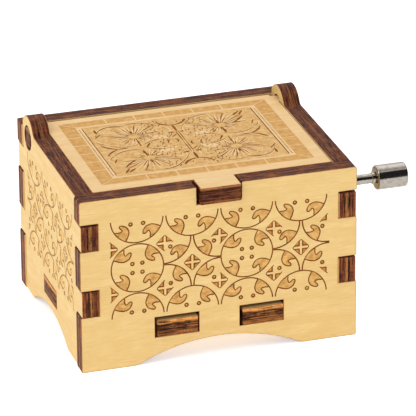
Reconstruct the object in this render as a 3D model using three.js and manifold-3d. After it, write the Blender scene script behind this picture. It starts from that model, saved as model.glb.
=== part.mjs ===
// Hand-cranked music box: a case of laser-cut plywood panels with finger joints, a lid that turns
// on square pins of its own, and an 18-note pinned-cylinder movement driven by a bent-rod crank.
// Millimetres. +X points to the crank side, +Y to the back and +Z up. The panels are laid out
// about the centre of the case, and the whole is then moved to the centre of its own outline.
import * as THREE from "three";
import { mergeVertices } from "three/addons/utils/BufferGeometryUtils.js";
import Module from "manifold-3d";

const wasm = await Module();
wasm.setup();

// ---- Case ----
const WIDTH = 64; // over the side panels
const DEPTH = 52; // over the front and back panels
const SHEET = 4; // plywood thickness
const FRONT_TOP = 41.5; // top of the front and side panels
const BACK_TOP = 41.2;
const HALF_X = WIDTH / 2;
const HALF_Y = DEPTH / 2;
const INNER_X = HALF_X - SHEET;
const INNER_Y = HALF_Y - SHEET;
const GLUE = 0.04; // glue line between panels

// Finger joints: the front and back panels are notched at two heights, and the sides' fingers
// fill the notches. Every finger end stands a little proud of the face that it comes through.
const PROUD_X = 0.28;
const PROUD_Y = 0.25;
const NOTCHES = [
  { low: 13.45, high: 19.85, fingerTop: 19.65 },
  { low: 29.4, high: 35.85, fingerTop: 35.5 },
];
const FINGER_SEAT = 0.05;

// Arches between the feet
const FRONT_ARCH = { centre: 0, halfChord: 19.3, height: 4.6, corner: 1.1 };
const SIDE_ARCH = { centre: 1.2, halfChord: 14.6, height: 4, corner: 1.1 };

// Base panel, with two tabs to the front and back and one to each side
const BASE_Z = 6.35;
const BASE_TOP = BASE_Z + SHEET;
const FRONT_SLOTS = { centres: [-10.05, 9.82], width: 10.34, low: 6.3, high: 11.25 };
const SIDE_SLOT = { centre: 1, width: 10.8, low: 6, high: 10.4 };
const FRONT_TABS = { centres: [-9.9, 10.15], width: 9.55 };
const SIDE_TAB_WIDTH = 10.4;
const TAB_PROUD = 0.1;

// Lid and its pivot
const HINGE_Y = 17.68;
const HINGE_Z = 39.48;
const HINGE_HOLE_R = 2.886;
const EAR_R = 5.2;
const EAR_START_Y = 12.04; // where the top edge starts to rise into the ear
const LID_HALF_X = INNER_X - 0.15;
const LID_FRONT_Y = -21.6;
const LID_BACK_Y = 20.6;
const LID_Z = HINGE_Z - SHEET / 2;
const LID_PIN_WIDTH = 3.9;
const LID_TAB = { left: -4.6, right: 4.8, end: -27.1 };
const LID_NOTCH = { left: -5.26, right: 5.22, bottom: 37.32 };
const LID_RELIEF = 0.9; // small cut-back beside each pin, at the back corners

// ---- Crank ----
const ROD_R = 1.2;
const SHAFT_Y = 6; // axis of the crank shaft, parallel to X
const SHAFT_Z = 26.6;
const SHAFT_END_X = -0.6; // inner end of the shaft
const ARM_X = 34.6; // plane in which the arm turns
const ARM_LENGTH = 18;
const ARM_LIFT = THREE.MathUtils.degToRad(15.6); // the arm at rest, from level and towards the front
const BEND_R = 2.4; // bends of the rod, on its centre line
const BEND_STEPS = 6;
const KNOB_R = 2.875;
const KNOB_FROM_X = 41.8;
const KNOB_TO_X = 49.06;
const KNOB_BORE_R = ROD_R + 0.06;
const KNOB_CHAMFER = 0.45;
const RIVET_R = 1.9; // headed end of the rod, sunk in the knob's outer end
const RIVET_HEIGHT = 0.7;
const RIVET_RECESS = { radius: 2.1, depth: 1.1 };
const SWAGE = { from: 40.9, to: 41.65, radius: 1.5 }; // swelling that keeps the knob off the bend
const CRANK_HOLE_R = 2.6;

// ---- Movement ----
const BED_TOP = BASE_TOP + 1.85; // the bedplate lies on the base panel
const BED = { left: -24, right: 22, front: -21, back: 17, corner: 2 };
const CYL_X = 7; // axis of the cylinder, parallel to Y
const CYL_Z = 19.6;
const CYL_R = 6.5;
const CYL_FRONT = -17;
const CYL_BACK = 3.2;
const PIN_R = 0.24;
const PIN_TIP_R = 7.3;
const ARBOR_R = 1.2;
const RUNNING_GAP = 0.06;
const SEATED_GAP = 0.02;

// Worm and wheel: the wheel's pitch radius and the worm's add up to the height between the axes.
const WHEEL_TEETH = 18;
const MODULE = 0.55;
const PRESSURE_ANGLE = THREE.MathUtils.degToRad(20);
const WHEEL_R = (MODULE * WHEEL_TEETH) / 2;
const WORM_R = SHAFT_Z - CYL_Z - WHEEL_R;
const WORM_PITCH = Math.PI * MODULE;
const ADDENDUM = 0.5;
const DEDENDUM = 0.62;
const BACKLASH = 0.12; // taken off the thickness of each tooth and of the thread
const WHEEL_WIDTH = 3;
const WORM_THREAD = 8.8; // length of the thread
const WORM_LENGTH = 11.8; // with its plain hubs

// Bearings of the crank shaft and of the arbor
const CHEEK = { inner: 6, thickness: 1.5, width: 4.2, top: 3 };
const BRIDGE_THICKNESS = 1.4;
const FRONT_BRIDGE_Y = -19.2; // front face
const BACK_BRIDGE_Y = 8.3; // front face
const BRIDGE_LUG_R = 2.7;

// Comb
const NOTES = 18;
const COMB_PITCH = 1.08;
const COMB_SLIT = 0.24;
const COMB_THICKNESS = 0.9;
const COMB_TIP_X = CYL_X - PIN_TIP_R - 0.15;
const COMB_BACK_X = -21.4;
const COMB_ROOT = { bass: -15.2, treble: -12.2 };
const COMB_MARGIN = 0.5;
const COMB_FRONT = (CYL_FRONT + CYL_BACK) / 2 - (NOTES * COMB_PITCH) / 2;
const COMB_BACK = COMB_FRONT + NOTES * COMB_PITCH;
const COMB_Z = CYL_Z - COMB_THICKNESS / 2;
const BASS_WEIGHTS = 5; // the lowest notes carry a small weight under the tooth

// Screws
const M2 = { head: 1.8, height: 1.2, shank: 0.95, hole: 1.02 };
const MOUNTING = { head: 2.6, height: 1.6, shank: 1.25, hole: 1.4 };
const MOUNTING_PLACES = [
  [-20.5, 12.5],
  [18.2, 12.5],
  [-8, -8],
];
const SLOT_WIDTH = 0.5;

// ---- Materials ----
const plywood = material(0xf0cd87, 0.62, 0);
const lidPlywood = material(0xebc896, 0.62, 0);
const nickel = material(0xc9c7c2, 0.25, 1);
const steel = material(0x9a9ca0, 0.35, 1);
const zinc = material(0xa9aaa8, 0.5, 1);
const brass = material(0xc9a24b, 0.35, 1);
const lead = material(0x6c6e72, 0.6, 1);

function material(color, roughness, metalness) {
  return new THREE.MeshStandardMaterial({ color, roughness, metalness });
}

// ---- Joining and cutting ----

function solid(geometry) {
  const bare = geometry.index ? geometry.toNonIndexed() : geometry.clone();
  bare.deleteAttribute("normal");
  bare.deleteAttribute("uv");
  const merged = mergeVertices(bare, 1e-4);
  return new wasm.Manifold(
    new wasm.Mesh({
      numProp: 3,
      vertProperties: merged.attributes.position.array,
      triVerts: new Uint32Array(merged.index.array),
    }),
  );
}

function geometryOf(body) {
  const { vertProperties, triVerts } = body.getMesh();
  const geometry = new THREE.BufferGeometry();
  geometry.setAttribute("position", new THREE.BufferAttribute(vertProperties, 3));
  geometry.setIndex(new THREE.BufferAttribute(triVerts, 1));
  const faceted = geometry.toNonIndexed();
  faceted.computeVertexNormals();
  return faceted;
}

function join(geometries) {
  return geometries.map(solid).reduce((whole, piece) => whole.add(piece));
}

// ---- Plain shapes ----

function box(low, high) {
  const size = high.map((value, i) => value - low[i]);
  const centre = high.map((value, i) => (value + low[i]) / 2);
  return new THREE.BoxGeometry(...size).translate(...centre);
}

// A round bar centred on the origin's axis "x", "y" or "z", from one place on it to another.
function bar(axis, radius, from, to, sides = 24) {
  const geometry = new THREE.CylinderGeometry(radius, radius, to - from, sides);
  geometry.translate(0, (from + to) / 2, 0);
  if (axis === "x") geometry.rotateZ(-Math.PI / 2);
  if (axis === "z") geometry.rotateX(Math.PI / 2);
  return geometry;
}

// Curves that meet leave two copies of the point between them, and an outline keeps only one.
function outline(path, curveSegments) {
  const points = path.getPoints(curveSegments);
  return points.filter((point, i) => point.distanceTo(points[(i + 1) % points.length]) > 1e-3);
}

// A flat outline given a depth. Its holes are cut afterwards, so that slots in line stay square.
function extrude(shape, depth, curveSegments = 14) {
  const slab = new THREE.Shape(outline(shape, curveSegments));
  const geometry = new THREE.ExtrudeGeometry(slab, { depth, bevelEnabled: false });
  if (shape.holes.length === 0) return geometry;
  let body = solid(geometry);
  for (const hole of shape.holes) {
    const core = new THREE.Shape(outline(hole, curveSegments));
    const through = new THREE.ExtrudeGeometry(core, { depth: depth + 2, bevelEnabled: false });
    body = body.subtract(solid(through.translate(0, 0, -1)));
  }
  return geometryOf(body);
}

function rectangle(left, front, right, back) {
  const path = new THREE.Path();
  path.moveTo(left, front);
  path.lineTo(right, front);
  path.lineTo(right, back);
  path.lineTo(left, back);
  path.closePath();
  return path;
}

function roundHole(x, y, radius) {
  const path = new THREE.Path();
  path.absarc(x, y, radius, 0, 2 * Math.PI, true);
  return path;
}

function roundedPlate({ left, right, front, back, corner }) {
  const shape = new THREE.Shape();
  shape.absarc(right - corner, front + corner, corner, -Math.PI / 2, 0);
  shape.absarc(right - corner, back - corner, corner, 0, Math.PI / 2);
  shape.absarc(left + corner, back - corner, corner, Math.PI / 2, Math.PI);
  shape.absarc(left + corner, front + corner, corner, Math.PI, 1.5 * Math.PI);
  shape.closePath();
  return shape;
}

// ---- Case panels ----

// The arch between two feet, drawn from left to right: a circular arc with eased corners.
function arch(shape, { centre, halfChord, height, corner }) {
  const radius = (halfChord ** 2 + height ** 2) / (2 * height);
  const below = radius - height;
  const startX = halfChord - corner;
  const startZ = Math.sqrt(radius ** 2 - startX ** 2) - below;
  const angle = Math.atan2(startZ + below, startX);
  shape.lineTo(centre - halfChord - corner, 0);
  shape.quadraticCurveTo(centre - halfChord, 0, centre - startX, startZ);
  shape.absarc(centre, -below, radius, Math.PI - angle, angle, true);
  shape.quadraticCurveTo(centre + halfChord, 0, centre + halfChord + corner, 0);
}

// Front or back panel as x and z, with notches down both sides.
function endPanelShape(top, lidNotch) {
  const edge = HALF_X + PROUD_X;
  const notchX = INNER_X - GLUE;
  const shape = new THREE.Shape();
  shape.moveTo(-edge, 0);
  arch(shape, FRONT_ARCH);
  shape.lineTo(edge, 0);
  for (const { low, high } of NOTCHES) {
    shape.lineTo(edge, low);
    shape.lineTo(notchX, low);
    shape.lineTo(notchX, high);
    shape.lineTo(edge, high);
  }
  shape.lineTo(edge, top);
  if (lidNotch) {
    shape.lineTo(lidNotch.right, top);
    shape.lineTo(lidNotch.right, lidNotch.bottom);
    shape.lineTo(lidNotch.left, lidNotch.bottom);
    shape.lineTo(lidNotch.left, top);
  }
  shape.lineTo(-edge, top);
  for (const { low, high } of [...NOTCHES].reverse()) {
    shape.lineTo(-edge, high);
    shape.lineTo(-notchX, high);
    shape.lineTo(-notchX, low);
    shape.lineTo(-edge, low);
  }
  shape.closePath();
  const { centres, width, low, high } = FRONT_SLOTS;
  for (const x of centres) shape.holes.push(rectangle(x - width / 2, low, x + width / 2, high));
  return shape;
}

// Side panel as y and z, with fingers to the front and back and an ear for the lid's pin.
function sidePanelShape(crankHole) {
  const edge = INNER_Y - GLUE;
  const tip = HALF_Y + PROUD_Y;
  const shape = new THREE.Shape();
  shape.moveTo(-edge, 0);
  arch(shape, SIDE_ARCH);
  shape.lineTo(edge, 0);
  for (const { low, fingerTop } of NOTCHES) {
    shape.lineTo(edge, low + FINGER_SEAT);
    shape.lineTo(tip, low + FINGER_SEAT);
    shape.lineTo(tip, fingerTop);
    shape.lineTo(edge, fingerTop);
  }
  ear(shape, edge);
  shape.lineTo(-edge, FRONT_TOP);
  for (const { low, fingerTop } of [...NOTCHES].reverse()) {
    shape.lineTo(-edge, fingerTop);
    shape.lineTo(-tip, fingerTop);
    shape.lineTo(-tip, low + FINGER_SEAT);
    shape.lineTo(-edge, low + FINGER_SEAT);
  }
  shape.closePath();
  const { centre, width, low, high } = SIDE_SLOT;
  shape.holes.push(rectangle(centre - width / 2, low, centre + width / 2, high));
  shape.holes.push(roundHole(HINGE_Y, HINGE_Z, HINGE_HOLE_R));
  if (crankHole) shape.holes.push(roundHole(SHAFT_Y, SHAFT_Z, CRANK_HOLE_R));
  return shape;
}

// The ear is round about the pivot, cut off by the back panel and eased into the top edge.
function ear(shape, edge) {
  const rise = FRONT_TOP - HINGE_Z;
  const start = Math.acos((edge - HINGE_Y) / EAR_R);
  const end = Math.PI - Math.asin((rise + 0.8) / EAR_R);
  const meetY = HINGE_Y - Math.sqrt(EAR_R ** 2 - rise ** 2);
  shape.absarc(HINGE_Y, HINGE_Z, EAR_R, start, end);
  shape.quadraticCurveTo(meetY, FRONT_TOP, EAR_START_Y, FRONT_TOP);
}

function baseShape() {
  const x = INNER_X - GLUE;
  const y = INNER_Y - GLUE;
  const tipX = HALF_X + TAB_PROUD;
  const tipY = HALF_Y + TAB_PROUD;
  const half = FRONT_TABS.width / 2;
  const sideLow = SIDE_SLOT.centre - SIDE_TAB_WIDTH / 2;
  const sideHigh = SIDE_SLOT.centre + SIDE_TAB_WIDTH / 2;
  const shape = new THREE.Shape();
  shape.moveTo(-x, -y);
  for (const centre of FRONT_TABS.centres) {
    shape.lineTo(centre - half, -y);
    shape.lineTo(centre - half, -tipY);
    shape.lineTo(centre + half, -tipY);
    shape.lineTo(centre + half, -y);
  }
  shape.lineTo(x, -y);
  shape.lineTo(x, sideLow);
  shape.lineTo(tipX, sideLow);
  shape.lineTo(tipX, sideHigh);
  shape.lineTo(x, sideHigh);
  shape.lineTo(x, y);
  for (const centre of [...FRONT_TABS.centres].reverse()) {
    shape.lineTo(centre + half, y);
    shape.lineTo(centre + half, tipY);
    shape.lineTo(centre - half, tipY);
    shape.lineTo(centre - half, y);
  }
  shape.lineTo(-x, y);
  shape.lineTo(-x, sideHigh);
  shape.lineTo(-tipX, sideHigh);
  shape.lineTo(-tipX, sideLow);
  shape.lineTo(-x, sideLow);
  shape.closePath();
  for (const [px, py] of MOUNTING_PLACES) shape.holes.push(roundHole(px, py, MOUNTING.hole));
  return shape;
}

// The lid as x and y: a lifting tab at the front and a square pin at each side.
function lidShape() {
  const pinLow = HINGE_Y - LID_PIN_WIDTH / 2;
  const pinHigh = HINGE_Y + LID_PIN_WIDTH / 2;
  const shape = new THREE.Shape();
  shape.moveTo(-LID_HALF_X, LID_FRONT_Y);
  shape.lineTo(LID_TAB.left, LID_FRONT_Y);
  shape.lineTo(LID_TAB.left, LID_TAB.end);
  shape.lineTo(LID_TAB.right, LID_TAB.end);
  shape.lineTo(LID_TAB.right, LID_FRONT_Y);
  shape.lineTo(LID_HALF_X, LID_FRONT_Y);
  shape.lineTo(LID_HALF_X, pinLow);
  shape.lineTo(HALF_X, pinLow);
  shape.lineTo(HALF_X, pinHigh);
  shape.lineTo(LID_HALF_X - LID_RELIEF, pinHigh);
  shape.lineTo(LID_HALF_X - LID_RELIEF, LID_BACK_Y);
  shape.lineTo(-LID_HALF_X + LID_RELIEF, LID_BACK_Y);
  shape.lineTo(-LID_HALF_X + LID_RELIEF, pinHigh);
  shape.lineTo(-HALF_X, pinHigh);
  shape.lineTo(-HALF_X, pinLow);
  shape.lineTo(-LID_HALF_X, pinLow);
  shape.closePath();
  return shape;
}

// ---- Crank ----

// A route through knots that each carry their own direction. It has a knot at every step, so a
// straight stretch takes one step and a bend takes several.
class Route extends THREE.Curve {
  constructor(knots) {
    super();
    this.knots = knots;
  }
  knotAt(t) {
    return this.knots[Math.round(t * (this.knots.length - 1))];
  }
  getPointAt(t, target = new THREE.Vector3()) {
    return target.copy(this.knotAt(t).point);
  }
  getTangentAt(t, target = new THREE.Vector3()) {
    return target.copy(this.knotAt(t).tangent);
  }
}

// Knots round a quarter bend that takes the direction `from` to the direction `to` at a corner.
function bend(corner, from, to) {
  const centre = corner.clone().addScaledVector(from, -BEND_R).addScaledVector(to, BEND_R);
  return Array.from({ length: BEND_STEPS + 1 }, (_, i) => {
    const angle = (i / BEND_STEPS) * (Math.PI / 2);
    const cos = Math.cos(angle);
    const sin = Math.sin(angle);
    return {
      point: centre.clone().addScaledVector(to, -BEND_R * cos).addScaledVector(from, BEND_R * sin),
      tangent: new THREE.Vector3().addScaledVector(from, cos).addScaledVector(to, sin),
    };
  });
}

// Centre line of the crank's rod: shaft, bend, arm, bend and handle pin.
const OUTWARD = new THREE.Vector3(1, 0, 0);
const ARMWARD = new THREE.Vector3(0, -Math.cos(ARM_LIFT), Math.sin(ARM_LIFT));
const ARM_FOOT = new THREE.Vector3(ARM_X, SHAFT_Y, SHAFT_Z);
const ARM_HEAD = ARM_FOOT.clone().addScaledVector(ARMWARD, ARM_LENGTH);

function crankRod() {
  const shaftStart = ARM_FOOT.clone().setX(SHAFT_END_X);
  const handleEnd = ARM_HEAD.clone().setX(KNOB_TO_X - RIVET_RECESS.depth);
  const knots = [
    { point: shaftStart, tangent: OUTWARD },
    ...bend(ARM_FOOT, OUTWARD, ARMWARD),
    ...bend(ARM_HEAD, ARMWARD, OUTWARD),
    { point: handleEnd, tangent: OUTWARD },
  ];
  const section = new THREE.Shape();
  section.absarc(0, 0, ROD_R, 0, 2 * Math.PI);
  const rod = new THREE.ExtrudeGeometry(section, {
    steps: knots.length - 1,
    curveSegments: 8,
    extrudePath: new Route(knots),
  });
  const head = bar("x", RIVET_R, handleEnd.x, handleEnd.x + RIVET_HEIGHT);
  const swage = bar("x", SWAGE.radius, SWAGE.from, SWAGE.to, 16);
  for (const piece of [head, swage]) piece.translate(0, ARM_HEAD.y, ARM_HEAD.z);
  return geometryOf(join([rod, head, swage]));
}

// The knob is turned about X, with a bore for the rod and a recess for its headed end.
function knob() {
  const length = KNOB_TO_X - KNOB_FROM_X;
  const recess = RIVET_RECESS;
  const profile = [
    [KNOB_BORE_R, 0],
    [KNOB_R - KNOB_CHAMFER, 0],
    [KNOB_R, KNOB_CHAMFER],
    [KNOB_R, length - KNOB_CHAMFER],
    [KNOB_R - KNOB_CHAMFER, length],
    [recess.radius, length],
    [recess.radius, length - recess.depth - 0.05],
    [KNOB_BORE_R, length - recess.depth - 0.05],
    [KNOB_BORE_R, 0],
  ];
  const turned = new THREE.LatheGeometry(profile.map((p) => new THREE.Vector2(...p)), 32);
  return turned.rotateZ(-Math.PI / 2);
}

// ---- Worm and wheel ----

// A box bent round the axis into a thread: u runs along the helix, and the section is a trapezium
// that is narrowest at the crest.
function thread() {
  const turns = WORM_THREAD / WORM_PITCH - 0.6;
  const steps = Math.round(turns * 18);
  const rootR = WORM_R - DEDENDUM - 0.12;
  const crestR = WORM_R + ADDENDUM;
  const geometry = new THREE.BoxGeometry(1, 1, 1, steps, 1, 1);
  const place = geometry.attributes.position;
  for (let i = 0; i < place.count; i += 1) {
    const turn = place.getX(i) * turns;
    const radius = place.getZ(i) > 0 ? crestR : rootR;
    const half = (WORM_PITCH / 2 - BACKLASH) / 2 - (radius - WORM_R) * Math.tan(PRESSURE_ANGLE);
    const angle = turn * 2 * Math.PI;
    const along = turn * WORM_PITCH + Math.sign(place.getY(i)) * half;
    // Angle 0 points down, to the wheel, and a positive angle is right-handed about X.
    place.setXYZ(i, along, radius * Math.sin(angle), -radius * Math.cos(angle));
  }
  return geometry;
}

function worm() {
  const core = bar("x", WORM_R - DEDENDUM, -WORM_LENGTH / 2, WORM_LENGTH / 2);
  const hubFrom = WORM_THREAD / 2;
  const hubs = [-1, 1].map((side) => {
    const ends = [side * hubFrom, (side * WORM_LENGTH) / 2].sort((a, b) => a - b);
    return bar("x", WORM_R + ADDENDUM, ...ends);
  });
  const bore = bar("x", ROD_R + SEATED_GAP, -WORM_LENGTH, WORM_LENGTH);
  return geometryOf(join([core, thread(), ...hubs]).subtract(solid(bore)));
}

// One flank of a wheel tooth as half-angles at rising radii, from the involute.
function flank(steps) {
  const baseR = WHEEL_R * Math.cos(PRESSURE_ANGLE);
  const involute = (radius) => {
    const pressure = Math.acos(Math.min(1, baseR / radius));
    return Math.tan(pressure) - pressure;
  };
  const halfAtPitch = (WORM_PITCH / 2 - BACKLASH) / 2 / WHEEL_R;
  const rootR = WHEEL_R - DEDENDUM;
  const tipR = WHEEL_R + ADDENDUM;
  return Array.from({ length: steps + 1 }, (_, i) => {
    const radius = THREE.MathUtils.lerp(rootR, tipR, i / steps);
    const half = halfAtPitch + involute(WHEEL_R) - involute(radius);
    return { radius, half };
  });
}

// The wheel is extruded along its axis and twisted so that its teeth follow the thread.
function wormWheel() {
  const side = flank(3);
  const shape = new THREE.Shape();
  const points = [];
  for (let tooth = 0; tooth < WHEEL_TEETH; tooth += 1) {
    // A gap, not a tooth, points up at the worm.
    const middle = ((tooth + 0.5) * 2 * Math.PI) / WHEEL_TEETH + Math.PI / 2;
    for (const { radius, half } of side) points.push([radius, middle - half]);
    for (const { radius, half } of [...side].reverse()) points.push([radius, middle + half]);
  }
  const corners = points.map(
    ([radius, angle]) => new THREE.Vector2(radius * Math.cos(angle), radius * Math.sin(angle)),
  );
  shape.setFromPoints(corners);
  shape.holes.push(roundHole(0, 0, ARBOR_R + SEATED_GAP));
  const geometry = extrude(shape, WHEEL_WIDTH, 12);
  geometry.translate(0, 0, -WHEEL_WIDTH / 2);
  const lead = WORM_PITCH / (2 * Math.PI * WORM_R);
  const place = geometry.attributes.position;
  const point = new THREE.Vector3();
  for (let i = 0; i < place.count; i += 1) {
    point.fromBufferAttribute(place, i);
    // The extrusion's +Z becomes -Y when the wheel is stood up.
    point.applyAxisAngle(new THREE.Vector3(0, 0, 1), (point.z * lead) / WHEEL_R);
    place.setXYZ(i, point.x, point.y, point.z);
  }
  return geometry.rotateX(Math.PI / 2);
}

// ---- Cylinder and comb ----

// Pins are spread over the tracks by stepping round the cylinder a fixed part of a turn each time.
function cylinder() {
  const length = CYL_BACK - CYL_FRONT;
  const rim = { inner: CYL_R - 0.7, depth: 1.4, hub: 2.8 };
  const bore = ARBOR_R + SEATED_GAP;
  const profile = [
    [bore, 0],
    [rim.hub, 0],
    [rim.hub, rim.depth],
    [rim.inner, rim.depth],
    [rim.inner, 0],
    [CYL_R, 0],
    [CYL_R, length],
    [rim.inner, length],
    [rim.inner, length - rim.depth],
    [rim.hub, length - rim.depth],
    [rim.hub, length],
    [bore, length],
    [bore, 0],
  ];
  const drum = new THREE.LatheGeometry(profile.map((p) => new THREE.Vector2(...p)), 40);
  const pins = [];
  const golden = 0.381966;
  for (let i = 0; i < NOTES * 3; i += 1) {
    const track = (i * 5) % NOTES;
    const pin = bar("z", PIN_R, CYL_R - 0.3, PIN_TIP_R, 4);
    pin.rotateY(i * golden * 2 * Math.PI);
    pin.translate(0, toothCentre(track) - CYL_FRONT, 0);
    pins.push(pin);
  }
  return geometryOf(join([drum, ...pins]));
}

function toothCentre(note) {
  return COMB_FRONT + (note + 0.5) * COMB_PITCH;
}

// The comb as x and y: the bass teeth, at the front, are longer and cut deeper.
function comb() {
  const shape = new THREE.Shape();
  shape.moveTo(COMB_BACK_X, COMB_FRONT - COMB_MARGIN);
  shape.lineTo(COMB_ROOT.bass, COMB_FRONT - COMB_MARGIN);
  shape.lineTo(COMB_ROOT.bass, COMB_FRONT + COMB_SLIT / 2);
  for (let note = 0; note < NOTES; note += 1) {
    const rootX = THREE.MathUtils.lerp(COMB_ROOT.bass, COMB_ROOT.treble, note / (NOTES - 1));
    const low = COMB_FRONT + note * COMB_PITCH + COMB_SLIT / 2;
    const high = COMB_FRONT + (note + 1) * COMB_PITCH - COMB_SLIT / 2;
    if (note > 0) shape.lineTo(rootX, low);
    shape.lineTo(COMB_TIP_X, low);
    shape.lineTo(COMB_TIP_X, high);
    shape.lineTo(rootX, high);
  }
  shape.lineTo(COMB_ROOT.treble, COMB_BACK + COMB_MARGIN);
  shape.lineTo(COMB_BACK_X, COMB_BACK + COMB_MARGIN);
  shape.closePath();
  for (const [x, y] of combScrewPlaces()) shape.holes.push(roundHole(x, y, M2.hole));
  return extrude(shape, COMB_THICKNESS, 8);
}

function combScrewPlaces() {
  const x = (COMB_BACK_X + COMB_ROOT.bass) / 2;
  return [
    [x, COMB_FRONT + 4],
    [x, COMB_BACK - 4],
  ];
}

// ---- Bedplate, bridges and bracket ----

function bridgeScrewPlaces() {
  return { front: [18.2, -15.7], back: [CYL_X, BACK_BRIDGE_Y + 4.4] };
}

function bracketScrewPlaces() {
  const out = CHEEK.inner + CHEEK.thickness + 2.6;
  return [
    [CYL_X - out, SHAFT_Y],
    [CYL_X + out, SHAFT_Y],
  ];
}

// A casting: a plate with a window under the cylinder and a raised step for the comb.
function bedplate() {
  const plate = roundedPlate(BED);
  plate.holes.push(rectangle(CYL_X - 8, CYL_FRONT - 0.3, CYL_X + 8, CYL_BACK));
  const thickness = BED_TOP - BASE_TOP - 0.02;
  const flat = extrude(plate, thickness, 6).translate(0, 0, BASE_TOP + 0.02);
  const step = box(
    [COMB_BACK_X - 0.4, COMB_FRONT - COMB_MARGIN, BASE_TOP + 0.02],
    [COMB_ROOT.bass - 0.6, COMB_BACK + COMB_MARGIN, COMB_Z - 0.02],
  );
  const { front, back } = bridgeScrewPlaces();
  const tapped = [...combScrewPlaces(), front, back, ...bracketScrewPlaces()];
  let body = join([flat, step]);
  for (const [x, y] of tapped) {
    body = body.subtract(solid(bar("z", M2.hole, BASE_TOP - 1, COMB_Z + 1, 16).translate(x, y, 0)));
  }
  for (const [x, y] of MOUNTING_PLACES) {
    body = body.subtract(solid(bar("z", MOUNTING.hole, 0, COMB_Z, 16).translate(x, y, 0)));
  }
  return geometryOf(body);
}

// An upright bearing plate as x and z, round over the arbor and wide at its foot.
function bridgeUpright(left, right, foot) {
  const shape = new THREE.Shape();
  shape.moveTo(left, foot);
  shape.lineTo(right, foot);
  shape.lineTo(right, foot + BRIDGE_THICKNESS);
  shape.lineTo(BRIDGE_LUG_R, -0.5);
  shape.absarc(0, 0, BRIDGE_LUG_R, 0, Math.PI);
  shape.lineTo(left, foot + BRIDGE_THICKNESS);
  shape.closePath();
  shape.holes.push(roundHole(0, 0, ARBOR_R + RUNNING_GAP));
  return extrude(shape, BRIDGE_THICKNESS, 10).rotateX(Math.PI / 2).translate(0, BRIDGE_THICKNESS, 0);
}

function frontBridge() {
  const foot = BED_TOP + 0.02 - CYL_Z;
  const [screwX, screwY] = bridgeScrewPlaces().front;
  const x = screwX - CYL_X;
  const y = screwY - FRONT_BRIDGE_Y;
  const upright = bridgeUpright(-4, x + 2.6, foot);
  const flange = box([x - 2.6, 0.2, foot], [x + 2.6, y + 2.5, foot + BRIDGE_THICKNESS]);
  const hole = bar("z", M2.hole, foot - 1, foot + 3, 16).translate(x, y, 0);
  return geometryOf(join([upright, flange]).subtract(solid(hole)));
}

function backBridge() {
  const foot = BED_TOP + 0.02 - CYL_Z;
  const y = bridgeScrewPlaces().back[1] - BACK_BRIDGE_Y;
  const upright = bridgeUpright(-3.4, 3.4, foot);
  const flange = box([-3.4, 0.2, foot], [3.4, y + 2.6, foot + BRIDGE_THICKNESS]);
  const hole = bar("z", M2.hole, foot - 1, foot + 3, 16).translate(0, y, 0);
  return geometryOf(join([upright, flange]).subtract(solid(hole)));
}

// A U of two cheeks on one strip, with a foot to each side for its screws.
function wormBracket() {
  const foot = BED_TOP + 0.02 - SHAFT_Z;
  const half = CHEEK.width / 2;
  const cheekShape = new THREE.Shape();
  cheekShape.moveTo(-half, foot);
  cheekShape.lineTo(half, foot);
  cheekShape.lineTo(CHEEK.top, -1);
  cheekShape.absarc(0, 0, CHEEK.top, 0, Math.PI);
  cheekShape.lineTo(-CHEEK.top, -1);
  cheekShape.closePath();
  cheekShape.holes.push(roundHole(0, 0, ROD_R + RUNNING_GAP));
  const cheeks = [-CHEEK.inner - CHEEK.thickness, CHEEK.inner].map((x) =>
    extrude(cheekShape, CHEEK.thickness, 10)
      .rotateY(Math.PI / 2)
      .rotateX(Math.PI / 2)
      .translate(x, 0, 0),
  );
  const reach = bracketScrewPlaces()[1][0] - CYL_X + 2.5;
  const strip = box([-reach, -half, foot], [reach, half, foot + 1.3]);
  let body = join([strip, ...cheeks]);
  for (const [x] of bracketScrewPlaces()) {
    const hole = bar("z", M2.hole, foot - 1, foot + 3, 16).translate(x - CYL_X, 0, 0);
    body = body.subtract(solid(hole));
  }
  return geometryOf(body);
}

// ---- Screws ----

// A slotted screw with its head up and the underside of the head at height 0.
function screw({ head, height, shank }, length) {
  const profile = [
    [0, -length],
    [shank, -length],
    [shank, 0],
    [head, 0],
    [head, height * 0.7],
    [head * 0.82, height],
    [0, height],
  ];
  const turned = new THREE.LatheGeometry(profile.map((p) => new THREE.Vector2(...p)), 16);
  turned.rotateX(Math.PI / 2);
  const slot = box([-head * 2, -SLOT_WIDTH / 2, height * 0.5], [head * 2, SLOT_WIDTH / 2, height * 2]);
  return geometryOf(solid(turned).subtract(solid(slot)));
}

// ---- Assembly ----

const musicBox = new THREE.Group();

function add(name, geometry, look, position = [0, 0, 0], rotation = [0, 0, 0]) {
  const mesh = new THREE.Mesh(geometry, look);
  mesh.name = name;
  mesh.position.set(...position);
  mesh.rotation.set(...rotation);
  musicBox.add(mesh);
  return mesh;
}

// An outline drawn as x and z, or as y and z, is stood up by one of these turns.
const FACING_FRONT = [Math.PI / 2, 0, 0];
const FACING_SIDE = [Math.PI / 2, Math.PI / 2, 0];

function addCase() {
  const front = extrude(endPanelShape(FRONT_TOP, LID_NOTCH), SHEET);
  const back = extrude(endPanelShape(BACK_TOP, null), SHEET);
  const side = (crankHole) => extrude(sidePanelShape(crankHole), SHEET);
  add("front_panel", front, plywood, [0, -INNER_Y, 0], FACING_FRONT);
  add("back_panel", back, plywood, [0, HALF_Y, 0], FACING_FRONT);
  add("left_panel", side(false), plywood, [-HALF_X, 0, 0], FACING_SIDE);
  add("right_panel", side(true), plywood, [INNER_X, 0, 0], FACING_SIDE);
  add("base_panel", extrude(baseShape(), SHEET, 6), plywood, [0, 0, BASE_Z]);
  add("lid", extrude(lidShape(), SHEET), lidPlywood, [0, 0, LID_Z]);
}

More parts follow.
